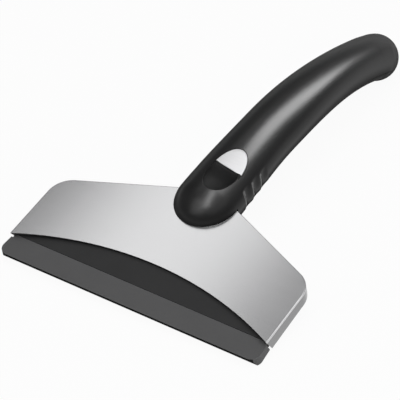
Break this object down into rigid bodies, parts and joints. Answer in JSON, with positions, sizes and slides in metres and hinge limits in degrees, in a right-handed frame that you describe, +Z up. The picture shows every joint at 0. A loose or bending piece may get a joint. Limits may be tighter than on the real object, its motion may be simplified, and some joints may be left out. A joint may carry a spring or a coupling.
{
  "type": "ice scraper",
  "caption": "Hand ice scraper: flat steel-capped head with an arc-cut edge and a straight plastic blade, on a curved split handle with a thumb recess and grip grooves.",
  "frame": {"origin": "centre of the bounding box's underside, on the surface that the scraper lies on", "axes": "+X across the blade, +Y from the blade to the handle's tip, +Z up as it lies on a table"},
  "size_m": [0.141, 0.2232, 0.0389],
  "materials": {
    "satin_steel": "satin, with polished edges",
    "bright_steel": "bright satin",
    "screw_steel": "plain",
    "handle_plastic": "smooth semi-gloss",
    "core_plastic": "fine matt grain",
    "blade_plastic": "fine matt grain"
  },
  "bodies": {
    "root": {"head_shell": "satin_steel", "head_core": "core_plastic", "blade": "blade_plastic", "tang": "screw_steel", "handle_body": "handle_plastic", "handle_lid": "handle_plastic", "thumb_inlay": "bright_steel", "blade_screw_1": "screw_steel", "blade_screw_2": "screw_steel", "blade_screw_3": "screw_steel", "blade_screw_4": "screw_steel", "tang_screw_1": "screw_steel", "tang_screw_2": "screw_steel", "handle_screw_1": "screw_steel", "handle_screw_2": "screw_steel", "handle_screw_3": "screw_steel", "handle_screw_4": "screw_steel"}
  },
  "joints": []
}
